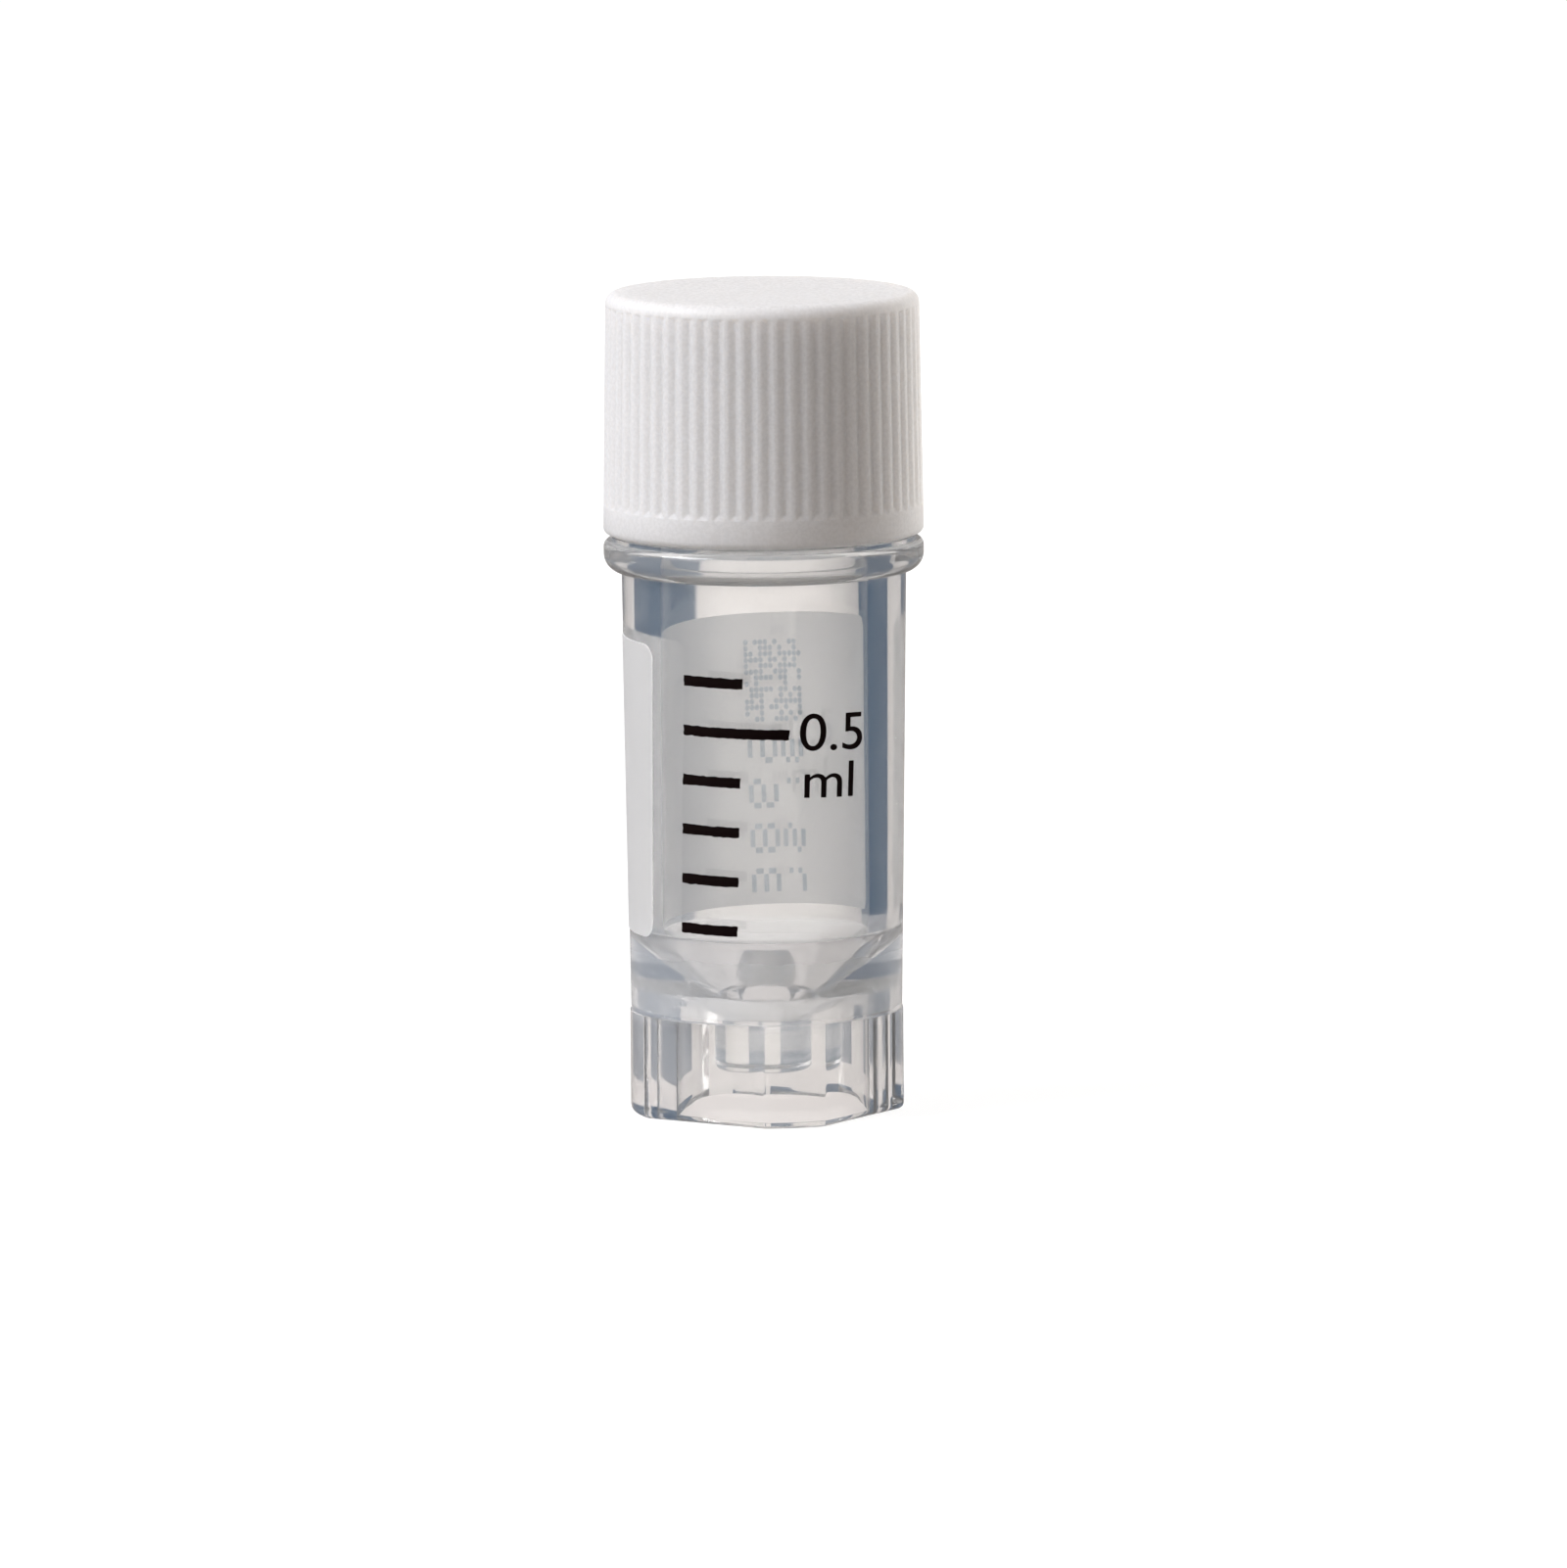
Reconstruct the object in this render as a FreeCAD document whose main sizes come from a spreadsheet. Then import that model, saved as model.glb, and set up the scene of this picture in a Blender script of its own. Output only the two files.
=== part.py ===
"""Self-standing cryovial: a moulded vial with a two-start screw cap, its gasket and its printed marks.

Units are millimetres. The vial stands on Z = 0 with its axis on the Z axis; -Y is the front.
"""
import FreeCAD, Part
import math
import os
import Sketcher
from FreeCAD import Placement, Rotation, Vector

DIMENSIONS = {
    # Foot skirt: a round ring with four flats that key into a rack
    "foot_radius": 5.345,
    "foot_height": 4.08,
    "foot_edge": 0.3,
    "foot_flat_distance": 4.55,
    "foot_flat_count": 4,
    "foot_phase": -33.0,
    "skirt_bore_radius": 4.2,
    "skirt_mouth_radius": 4.3,
    "skirt_flare": 0.25,
    # Boss and cone under the bore, seen from below
    "boss_radius": 1.75,
    "boss_bottom": 1.7,
    "boss_edge": 0.25,
    "boss_root": 3.8,
    "underside_inner_radius": 2.0,
    "underside_low": 4.0,
    "underside_high": 5.0,
    # Tapered tube with its conical bore
    "tube_foot_radius": 5.305,
    "tube_top_radius": 5.555,
    "bore_radius": 4.05,
    "bore_cone_top": 7.2,
    "bore_tip_radius": 0.9,
    "bore_tip_edge": 4.3,
    "bore_tip_flat": 0.4,
    "bore_tip_bottom": 4.0,
    "bore_tip_rounding": 0.6,
    # Bead below the cap and the shoulder above it
    "bead_bottom": 21.32,
    "bead_radius": 6.25,
    "bead_widest": 22.02,
    "bead_widest_top": 22.3,
    "bead_lower_rounding": 0.7,
    "bead_upper_rounding": 0.28,
    "shoulder_radius": 5.95,
    "shoulder_foot": 22.574,
    "shoulder_top": 22.72,
    # Threaded neck
    "neck_radius": 4.75,
    "rim_top": 30.75,
    "rim_edge": 0.15,
    "thread_lead": 4.0,
    "thread_starts": 2,
    "thread_length": 4.4,
    "thread_root_half": 0.48,
    "thread_crest_half": 0.22,
    "thread_bite": 0.1,
    "neck_thread_crest": 5.1,
    "neck_thread_start": 24.6,
    # Cap
    "cap_bottom": 22.8,
    "cap_top": 32.25,
    "cap_bottom_radius": 6.255,
    "cap_top_radius": 6.12,
    "cap_top_edge": 0.45,
    "cap_bottom_edge": 0.25,
    "cap_bore_radius": 5.25,
    "cap_mouth_radius": 5.4,
    "cap_mouth_flare": 0.3,
    "cap_ceiling": 31.2,
    "cap_thread_crest": 4.85,
    "cap_phase": 1.7,
    # Grip grooves round the cap
    "groove_count": 60,
    "groove_depth": 0.18,
    "groove_half_width": 0.25,
    "groove_overrun": 0.05,
    "groove_foot": 24.2,
    "groove_top": 31.75,
    "groove_shelf_slope": 47.0,
    # Gasket under the cap's ceiling
    "gasket_inner_radius": 3.6,
    "gasket_outer_radius": 5.0,
    "gasket_height": 0.4,
    # Printed ink
    "ink_height": 0.03,
    "panel_bottom": 7.05,
    "panel_top": 18.62,
    "panel_start": 102.0,
    "panel_span": 204.0,
    "panel_corner": 0.42,
    "mark_lowest": 7.74,
    "mark_pitch": 1.943,
    "mark_thickness": 0.4,
    "mark_start": -36.0,
    "mark_short_span": 25.5,
    "mark_long_span": 45.0,
}

# Sizes that follow from the driving ones
THREAD_PITCH = DIMENSIONS["thread_lead"] / DIMENSIONS["thread_starts"]
PHASE_RISE = DIMENSIONS["thread_lead"] * (DIMENSIONS["cap_phase"] - DIMENSIONS["foot_phase"]) / 360
CAP_DRAFT = (DIMENSIONS["cap_bottom_radius"] - DIMENSIONS["cap_top_radius"]) / (
    DIMENSIONS["cap_top"] - DIMENSIONS["cap_top_edge"] - DIMENSIONS["cap_bottom"] - DIMENSIONS["cap_bottom_edge"])
GROOVE_REACH = DIMENSIONS["groove_depth"] + DIMENSIONS["groove_overrun"]


def groove_root_radius(height):
    """The cap's drafted outside at a height, less the groove's depth."""
    above_skirt = height - DIMENSIONS["cap_bottom"] - DIMENSIONS["cap_bottom_edge"]
    return DIMENSIONS["cap_bottom_radius"] - CAP_DRAFT * above_skirt - DIMENSIONS["groove_depth"]


DIMENSIONS.update({
    # The cap's teeth run midway between the neck's
    "cap_thread_start": DIMENSIONS["neck_thread_start"] - THREAD_PITCH / 2 + PHASE_RISE,
    "groove_reach": GROOVE_REACH,
    "groove_shelf_reach": GROOVE_REACH / math.cos(math.radians(DIMENSIONS["groove_shelf_slope"])),
    "groove_reach_half_width": DIMENSIONS["groove_half_width"] * GROOVE_REACH / DIMENSIONS["groove_depth"],
    "groove_top_radius": groove_root_radius(DIMENSIONS["groove_top"]),
    "groove_foot_radius": groove_root_radius(DIMENSIONS["groove_foot"]),
    "mark_half_thickness": DIMENSIONS["mark_thickness"] / 2,
})
MARK_COUNT = 6
LONG_MARK = 4
SKETCH_ORIGIN = -1
SKETCH_H_AXIS = -1
SKETCH_V_AXIS = -2
FRONT_ANGLE = 90
TUBE_RADIUS_AT = ("Dimensions.tube_foot_radius + ({} - Dimensions.foot_height)"
                  " * (Dimensions.tube_top_radius - Dimensions.tube_foot_radius)"
                  " / (Dimensions.bead_bottom - Dimensions.foot_height)")

doc = FreeCAD.newDocument("cryovial")
sheet = doc.addObject("Spreadsheet::Sheet", "Dimensions")
for row, (alias, number) in enumerate(DIMENSIONS.items(), start=1):
    sheet.set(f"A{row}", alias)
    sheet.set(f"B{row}", str(number))
    sheet.setAlias(f"B{row}", alias)
doc.recompute()


def terms(text):
    """Split a sum such as 'cap_top - cap_top_edge' into (sign, name) pairs."""
    sign = 1
    pairs = []
    for word in text.split():
        if word in "+-":
            sign = -1 if word == "-" else 1
        else:
            pairs.append((sign, word))
            sign = 1
    return pairs


def value(text):
    """The number that a sum of named dimensions stands for."""
    return sum(sign * DIMENSIONS[name] for sign, name in terms(text))


def bound(text):
    """The same sum as an expression on the sheet's cells."""
    return " ".join(("- " if sign < 0 else "+ ") + "Dimensions." + name for sign, name in terms(text))


def new_body(label):
    body = doc.addObject("PartDesign::Body", label)
    body.Label = label
    return body


def origin_item(body, role):
    return next(item for item in body.Origin.OriginFeatures if item.Role == role)


def new_sketch(body, name, plane):
    sketch = body.newObject("Sketcher::SketchObject", name)
    sketch.AttachmentSupport = (origin_item(body, plane), [""])
    sketch.MapMode = "FlatFace"
    return sketch


def arc_between(start, end, radius):
    """The arc that turns left on its way from start to end; a negative radius turns right."""
    chord = end - start
    left = Vector(-chord.y, chord.x, 0)
    left.normalize()
    side = math.copysign(1, radius)
    sagitta = abs(radius) - math.sqrt(radius ** 2 - (chord.Length / 2) ** 2)
    return Part.Arc(start, (start + end) * 0.5 - left * side * sagitta, end)


def draw_outline(sketch, corners):
    """Draw a closed outline. Each corner is (across, up) or (across, up, radius of the arc to the next).

    Every corner is a pair of sums of named dimensions, and "0" puts it on a sketch axis.
    """
    points = [Vector(*(0 if text == "0" else value(text) for text in corner[:2]), 0) for corner in corners]
    ends = []
    for index, corner in enumerate(corners):
        start, end = points[index], points[(index + 1) % len(points)]
        if len(corner) == 3:
            radius = value(corner[2])
            edge = sketch.addGeometry(arc_between(start, end, radius), False)
            constrain(sketch, ("Radius", edge, abs(radius)), corner[2].removeprefix("- "))
            ends.append((edge, 1, 2) if radius > 0 else (edge, 2, 1))
        else:
            edge = sketch.addGeometry(Part.LineSegment(start, end), False)
            ends.append((edge, 1, 2))
    for (edge, _, last), (following, first, _) in zip(ends, ends[1:] + ends[:1]):
        sketch.addConstraint(Sketcher.Constraint("Coincident", edge, last, following, first))
    for (edge, first, _), point, corner in zip(ends, points, corners):
        pin(sketch, edge, first, "DistanceX", SKETCH_V_AXIS, point.x, corner[0])
        pin(sketch, edge, first, "DistanceY", SKETCH_H_AXIS, point.y, corner[1])


def pin(sketch, edge, end, kind, axis, distance, text):
    """Hold one end of an edge on a sketch axis, or at a bound distance from the sketch's origin."""
    if text == "0":
        sketch.addConstraint(Sketcher.Constraint("PointOnObject", edge, end, axis))
    else:
        constrain(sketch, (kind, SKETCH_ORIGIN, 1, edge, end, distance), text)


def constrain(sketch, constraint, text):
    number = sketch.addConstraint(Sketcher.Constraint(*constraint))
    sketch.setExpression(f"Constraints[{number}]", bound(text))


def revolve(body, name, corners):
    """Turn an outline drawn on the XZ plane once round the body's Z axis."""
    sketch = new_sketch(body, name + "_section", "XZ_Plane")
    draw_outline(sketch, corners)
    solid = body.newObject("PartDesign::Revolution", name)
    solid.Profile = sketch
    solid.ReferenceAxis = (sketch, ["V_Axis"])
    solid.Angle = 360
    sketch.Visibility = False
    doc.recompute()
    return solid


def polar_copies(body, name, feature, count):
    pattern = body.newObject("PartDesign::PolarPattern", name)
    pattern.Originals = [feature]
    pattern.Axis = (origin_item(body, "Z_Axis"), [""])
    pattern.Angle = 360
    pattern.setExpression("Occurrences", bound(count))
    body.Tip = pattern
    doc.recompute()
    return pattern


def turn_about_axis(item, phase):
    """Turn a finished sub-part about Z by a named angle."""
    item.Placement = Placement(Vector(), Rotation(Vector(0, 0, 1), value(phase)))
    item.setExpression(".Placement.Rotation.Angle", bound(phase))


def add_thread(body, name, corners):
    """Add one thread per start, swept from a tooth drawn on the XZ plane."""
    sketch = new_sketch(body, name + "_tooth", "XZ_Plane")
    draw_outline(sketch, corners)
    helix = body.newObject("PartDesign::AdditiveHelix", name)
    helix.Profile = sketch
    helix.ReferenceAxis = (sketch, ["V_Axis"])
    helix.Mode = "pitch-height-angle"
    helix.setExpression("Pitch", bound("thread_lead"))
    helix.setExpression("Height", bound("thread_length"))
    sketch.Visibility = False
    doc.recompute()
    return polar_copies(body, name + "_starts", helix, "thread_starts")


def make_vial_body():
    """One moulding: foot skirt, boss, tapered tube with a conical bore, bead, shoulder and threaded neck."""
    body = new_body("vial_body")
    revolve(body, "vial_wall", [
        ("0", "boss_bottom"),
        ("boss_radius - boss_edge", "boss_bottom", "boss_edge"),
        ("boss_radius", "boss_bottom + boss_edge"),
        ("boss_radius", "boss_root"),
        ("underside_inner_radius", "underside_low"),
        ("skirt_bore_radius", "underside_high"),
        ("skirt_bore_radius", "skirt_flare"),
        ("skirt_mouth_radius", "0"),
        ("foot_radius - foot_edge", "0", "foot_edge"),
        ("foot_radius", "foot_edge"),
        ("foot_radius", "foot_height"),
        ("tube_foot_radius", "foot_height"),
        ("tube_top_radius", "bead_bottom", "bead_lower_rounding"),
        ("bead_radius", "bead_widest"),
        ("bead_radius", "bead_widest_top", "bead_upper_rounding"),
        ("shoulder_radius", "shoulder_foot"),
        ("shoulder_radius", "shoulder_top"),
        ("neck_radius", "shoulder_top"),
        ("neck_radius", "rim_top - rim_edge", "rim_edge"),
        ("neck_radius - rim_edge", "rim_top"),
        ("bore_radius + rim_edge", "rim_top", "rim_edge"),
        ("bore_radius", "rim_top - rim_edge"),
        ("bore_radius", "bore_cone_top"),
        ("bore_tip_radius", "bore_tip_edge", "- bore_tip_rounding"),
        ("bore_tip_flat", "bore_tip_bottom"),
        ("0", "bore_tip_bottom"),
    ])
    cut_foot_flats(body)
    add_thread(body, "neck_thread", tooth_corners("neck_radius - thread_bite", "neck_thread_crest",
                                                  "neck_thread_start"))
    turn_about_axis(body, "foot_phase")
    return body


def tooth_corners(root, crest, height):
    """A trapezoid tooth from a root that bites into the wall to its crest, centred on a height."""
    return [
        (root, height + " - thread_root_half"),
        (crest, height + " - thread_crest_half"),
        (crest, height + " + thread_crest_half"),
        (root, height + " + thread_root_half"),
    ]


def cut_foot_flats(body):
    """Mill the skirt's flats: one strip outside the +X flat, cut upwards and repeated round the foot."""
    sketch = new_sketch(body, "foot_flat_strip", "XY_Plane")
    draw_outline(sketch, [
        ("foot_flat_distance", "- foot_radius"),
        ("foot_radius + foot_edge", "- foot_radius"),
        ("foot_radius + foot_edge", "foot_radius"),
        ("foot_flat_distance", "foot_radius"),
    ])
    volume_before = body.Shape.Volume
    flat = body.newObject("PartDesign::Pocket", "foot_flat")
    flat.Profile = sketch
    flat.setExpression("Length", bound("foot_height"))
    flat.Reversed = True
    sketch.Visibility = False
    doc.recompute()
    assert flat.Shape.Volume < volume_before
    polar_copies(body, "foot_flats", flat, "foot_flat_count")


def make_screw_cap():
    """One moulding: a skirt with a two-start thread inside and grip grooves outside, closed on top."""
    body = new_body("screw_cap")
    revolve(body, "cap_wall", [
        ("0", "cap_ceiling"),
        ("cap_bore_radius", "cap_ceiling"),
        ("cap_bore_radius", "cap_bottom + cap_mouth_flare"),
        ("cap_mouth_radius", "cap_bottom"),
        ("cap_bottom_radius - cap_bottom_edge", "cap_bottom", "cap_bottom_edge"),
        ("cap_bottom_radius", "cap_bottom + cap_bottom_edge"),
        ("cap_top_radius", "cap_top - cap_top_edge", "cap_top_edge"),
        ("cap_top_radius - cap_top_edge", "cap_top"),
        ("0", "cap_top"),
    ])
    add_cap_thread(body)
    cut_grip_grooves(body)
    turn_about_axis(body, "cap_phase")
    return body


def add_cap_thread(body):
    add_thread(body, "cap_thread", tooth_corners("cap_bore_radius + thread_bite", "cap_thread_crest",
                                                 "cap_thread_start"))


def cut_grip_grooves(body):
    """Cut one V groove between two triangles, level at its top and sloped at its foot, and repeat it."""
    top = groove_triangle(body, "groove_top_end", "groove_reach", "groove_top_radius", "groove_top")
    foot = groove_triangle(body, "groove_foot_end", "groove_shelf_reach", "groove_foot_radius", "groove_foot")
    foot.AttachmentOffset = Placement(foot.AttachmentOffset.Base,
                                      Rotation(Vector(0, 1, 0), value("groove_shelf_slope")))
    foot.setExpression("AttachmentOffset.Rotation.Angle", bound("groove_shelf_slope"))
    doc.recompute()
    volume_before = body.Shape.Volume
    groove = body.newObject("PartDesign::SubtractiveLoft", "grip_groove")
    groove.Profile = foot
    groove.Sections = [top]
    groove.Ruled = True
    doc.recompute()
    assert groove.Shape.Volume < volume_before
    polar_copies(body, "grip_grooves", groove, "groove_count")


def groove_triangle(body, name, reach, radius, height):
    """A level triangle with its point at the groove's root, opening outwards past the cap's wall."""
    sketch = new_sketch(body, name, "XY_Plane")
    draw_outline(sketch, [
        ("0", "0"),
        (reach, "- groove_reach_half_width"),
        (reach, "groove_reach_half_width"),
    ])
    sketch.AttachmentOffset = Placement(Vector(value(radius), 0, value(height)), Rotation())
    sketch.setExpression("AttachmentOffset.Base.x", bound(radius))
    sketch.setExpression("AttachmentOffset.Base.z", bound(height))
    sketch.Visibility = False
    return sketch


def make_sealing_gasket():
    """A flat silicone ring held against the cap's ceiling, over the vial's rim."""
    body = new_body("sealing_gasket")
    revolve(body, "gasket_ring", [
        ("gasket_inner_radius", "cap_ceiling - gasket_height"),
        ("gasket_outer_radius", "cap_ceiling - gasket_height"),
        ("gasket_outer_radius", "cap_ceiling"),
        ("gasket_inner_radius", "cap_ceiling"),
    ])
    return body


def make_ink_band(name, bottom, top, start, span):
    """A film of ink on the tapered tube, from one height to another and round a span of its wall."""
    outer = make_tube_cone(name + "_outer", bottom, top, "ink_height", span)
    inner = make_tube_cone(name + "_inner", bottom, top, None, span)
    band = doc.addObject("Part::Cut", name)
    band.Base = outer
    band.Tool = inner
    band.Placement = Placement(Vector(), Rotation(Vector(0, 0, 1), value(start) - FRONT_ANGLE))
    band.setExpression(".Placement.Rotation.Angle", f"{bound(start)} - {FRONT_ANGLE}")
    return band


def make_tube_cone(name, bottom, top, added_radius, span):
    """A sector of the tube's outside taken as a cone, bound to the sheet."""
    cone = doc.addObject("Part::Cone", name)
    extra = f" + Dimensions.{added_radius}" if added_radius else ""
    cone.setExpression("Radius1", TUBE_RADIUS_AT.format(bound(bottom)) + extra)
    cone.setExpression("Radius2", TUBE_RADIUS_AT.format(bound(top)) + extra)
    cone.setExpression("Height", f"({bound(top)}) - ({bound(bottom)})")
    cone.setExpression("Angle", bound(span))
    cone.Placement = Placement(Vector(0, 0, value(bottom)), Rotation())
    cone.setExpression(".Placement.Base.z", bound(bottom))
    return cone


def make_writing_panel():
    """The white panel for handwriting, wrapped round the back of the tube, with rounded corners."""
    band = make_ink_band("panel_band", "panel_bottom", "panel_top", "panel_start", "panel_span")
    doc.recompute()
    panel = doc.addObject("Part::Fillet", "writing_panel")
    panel.Label = "writing_panel"
    panel.Base = band
    corners = [number for number, edge in enumerate(band.Shape.Edges, start=1)
               if edge.Length < 2 * DIMENSIONS["ink_height"]]
    panel.Edges = [(number, DIMENSIONS["panel_corner"], DIMENSIONS["panel_corner"]) for number in corners]
    return panel


def make_graduation_marks():
    """A ladder of short dashes on the front, one for each tenth of a millilitre, with one long dash."""
    dashes = []
    for step in range(MARK_COUNT):
        height = "mark_lowest" + " + mark_pitch" * step
        span = "mark_long_span" if step == LONG_MARK else "mark_short_span"
        dashes.append(make_ink_band(f"dash_{step + 1}", height + " - mark_half_thickness",
                                    height + " + mark_half_thickness", "mark_start", span))
    marks = doc.addObject("Part::Compound", "graduation_marks")
    marks.Label = "graduation_marks"
    marks.Links = dashes
    return marks


def check_document():
    """Stop if any feature failed to build."""
    for item in doc.Objects:
        assert not {"Invalid", "Error"} & set(item.State), item.Name


def write_part(item):
    """Write one finished sub-part, once its shape is known to be sound."""
    assert not item.Shape.isNull() and item.Shape.isValid(), item.Label
    item.Shape.exportStep(f"parts/{item.Label}.step")
    print(item.Label, round(item.Shape.Volume, 3), "mm3", len(item.Shape.Solids), "solids")


sub_parts = [make_vial_body(), make_screw_cap(), make_sealing_gasket(), make_writing_panel(),
             make_graduation_marks()]
doc.recompute()
check_document()
os.makedirs("parts", exist_ok=True)
for sub_part in sub_parts:
    write_part(sub_part)
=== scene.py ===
# %% [markdown]
# # A self-standing cryovial
# A cryovial is a small plastic tube for samples that are kept in a freezer or in the vapour over
# liquid nitrogen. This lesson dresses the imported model: a clear moulded vial whose look is made by
# refraction, a white ribbed cap, and four prints on the tube. Sizes below are in millimetres, and MM
# turns them into Blender's metres. Z = 0 is the surface that the vial stands on, and -Y is its front.

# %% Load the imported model
import math
import bmesh
import bpy
import numpy as np
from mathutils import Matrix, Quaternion, Vector


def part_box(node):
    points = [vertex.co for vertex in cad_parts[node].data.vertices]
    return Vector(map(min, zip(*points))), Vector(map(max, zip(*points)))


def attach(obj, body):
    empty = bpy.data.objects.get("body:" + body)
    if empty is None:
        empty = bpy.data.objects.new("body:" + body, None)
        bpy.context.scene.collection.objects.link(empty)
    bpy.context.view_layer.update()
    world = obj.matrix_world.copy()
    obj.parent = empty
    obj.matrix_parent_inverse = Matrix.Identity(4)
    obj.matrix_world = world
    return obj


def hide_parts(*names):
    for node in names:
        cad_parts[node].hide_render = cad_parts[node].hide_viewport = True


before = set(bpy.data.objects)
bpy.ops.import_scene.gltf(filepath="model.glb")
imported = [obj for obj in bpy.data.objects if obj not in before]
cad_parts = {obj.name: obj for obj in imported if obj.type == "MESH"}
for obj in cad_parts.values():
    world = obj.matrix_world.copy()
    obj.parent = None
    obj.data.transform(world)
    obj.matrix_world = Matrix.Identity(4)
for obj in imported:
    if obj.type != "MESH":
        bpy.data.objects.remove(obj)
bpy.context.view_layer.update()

MM = 0.001
vial_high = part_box("vial_body")[1] / MM
cap_low, cap_high = (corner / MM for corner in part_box("screw_cap"))
scene = bpy.context.scene

# %% [markdown]
# ## Node trees as expressions
# A material is a small program. Writing it node by node hides the sum it works out, so one class wraps
# a socket and lets Python's own operators add the Math nodes. Everything else comes from `node`.

# %% A socket that can be used in an expression


class Signal:
    """An output socket of a node tree, used like a number."""

    def __init__(self, tree, socket=None):
        self.tree = tree
        self.socket = socket

    def node(self, kind, settings=None, values=None, output=0):
        """Add a node. Its settings are set first, then each socket's value or link."""
        made = self.tree.nodes.new(kind)
        for name, setting in (settings or {}).items():
            if name == "stops":
                place_stops(made.color_ramp, setting)
            else:
                setattr(made, name, setting)
        for name, given in (values or {}).items():
            if isinstance(given, Signal):
                self.tree.links.new(given.socket, made.inputs[name])
            else:
                made.inputs[name].default_value = given
        return Signal(self.tree, made.outputs[output])

    def math(self, operation, *values):
        return self.node("ShaderNodeMath", {"operation": operation}, dict(enumerate(values)))

    def __add__(self, other):
        return self.math("ADD", self, other)

    def __rsub__(self, other):
        return self.math("SUBTRACT", other, self)

    def __mul__(self, other):
        return self.math("MULTIPLY", self, other)

    def __truediv__(self, other):
        return self.math("DIVIDE", self, other)

    def __rtruediv__(self, other):
        return self.math("DIVIDE", other, self)

    __radd__ = __add__
    __rmul__ = __mul__

    def step(self, low, high):
        """0 below low, 1 above high, and a smooth slope between them."""
        return self.node("ShaderNodeMapRange", {"interpolation_type": "SMOOTHSTEP"},
                         {"Value": self, "From Min": low, "From Max": high})

    def mix(self, first, second):
        """A colour that goes from first to second as this signal goes from 0 to 1."""
        return self.node("ShaderNodeMix", {"data_type": "RGBA"}, {0: self, 6: first, 7: second}, output=2)


def place_stops(ramp, stops):
    for element, (place, colour) in zip(ramp.elements, stops):
        element.position = place
        element.color = colour
    for place, colour in stops[2:]:
        ramp.elements.new(place).color = colour


def new_material(name):
    """An empty material, and the Signal that its nodes are added through."""
    material = bpy.data.materials.new(name)
    material.use_nodes = True
    material.node_tree.nodes.clear()
    return material, Signal(material.node_tree)


def finish_material(material, shader):
    output = material.node_tree.nodes.new("ShaderNodeOutputMaterial")
    material.node_tree.links.new(shader.socket, output.inputs["Surface"])
    print("material", material.name, "with", len(material.node_tree.nodes), "nodes")
    return material


# %% [markdown]
# Every finish below varies a little over the surface, as moulded and printed plastic does. The pattern
# reads the object's own coordinates, so it stays on a piece that moves, and its grain is given in
# millimetres.

# %% Noise on the object's own coordinates


def object_place(signal):
    return signal.node("ShaderNodeTexCoord", output=3)


def heights(signal):
    """The height of each point above the resting plane, in metres."""
    return signal.node("ShaderNodeSeparateXYZ", None, {0: object_place(signal)}, output=2)


def noise(signal, grain, stretch=(1, 1, 1), detail=3.0, roughness=0.5):
    """Noise from 0 to 1 whose lumps are about `grain` millimetres across, stretched along the axes."""
    scale = tuple(1 / (grain * MM * length) for length in stretch)
    place = signal.node("ShaderNodeMapping", None, {"Vector": object_place(signal), "Scale": scale})
    return signal.node("ShaderNodeTexNoise", None, {"Vector": place, "Scale": 1.0, "Detail": detail,
                                                    "Roughness": roughness})


# %% [markdown]
# ## Turned shapes
# The vial and the cap are bodies of revolution. Blender's Screw modifier could turn a profile, but it
# gives every ring the same circle, and here the foot has flats and the neck a thread. So a section is
# written as a list of lines and arcs, and a function turns it with any radius rule for each zone.

# %% Draw a section from lines and arcs


class Section:
    """A half section, as points (radius, height) in millimetres with a zone name and a crease flag."""

    def __init__(self, radius, height):
        self.points = [(radius, height)]
        self.zones = [""]
        self.creases = [True]

    def add(self, points, zone, crease):
        self.points += points
        self.zones += [zone] * len(points)
        self.creases += [False] * (len(points) - 1) + [crease]
        return self

    def line(self, radius, height, steps=1, zone="", crease=True):
        start = self.points[-1]
        points = [(start[0] + (radius - start[0]) * n / steps, start[1] + (height - start[1]) * n / steps)
                  for n in range(1, steps + 1)]
        return self.add(points, zone, crease)

    def arc(self, radius, height, curve, steps=8, zone="", crease=False):
        """An arc that turns left with radius `curve`, or right where `curve` is negative."""
        start, end = Vector(self.points[-1]), Vector((radius, height))
        chord = end - start
        left = Vector((-chord.y, chord.x)).normalized() * math.copysign(1, curve)
        centre = (start + end) / 2 + left * math.sqrt(curve ** 2 - (chord.length / 2) ** 2)
        first = math.atan2(*(start - centre).yx)
        sweep = 2 * math.asin(chord.length / 2 / abs(curve)) * math.copysign(1, curve)
        points = [(centre.x + abs(curve) * math.cos(first + sweep * n / steps),
                   centre.y + abs(curve) * math.sin(first + sweep * n / steps)) for n in range(1, steps + 1)]
        return self.add(points, zone, crease)


# %% Turn a section into a mesh


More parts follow.
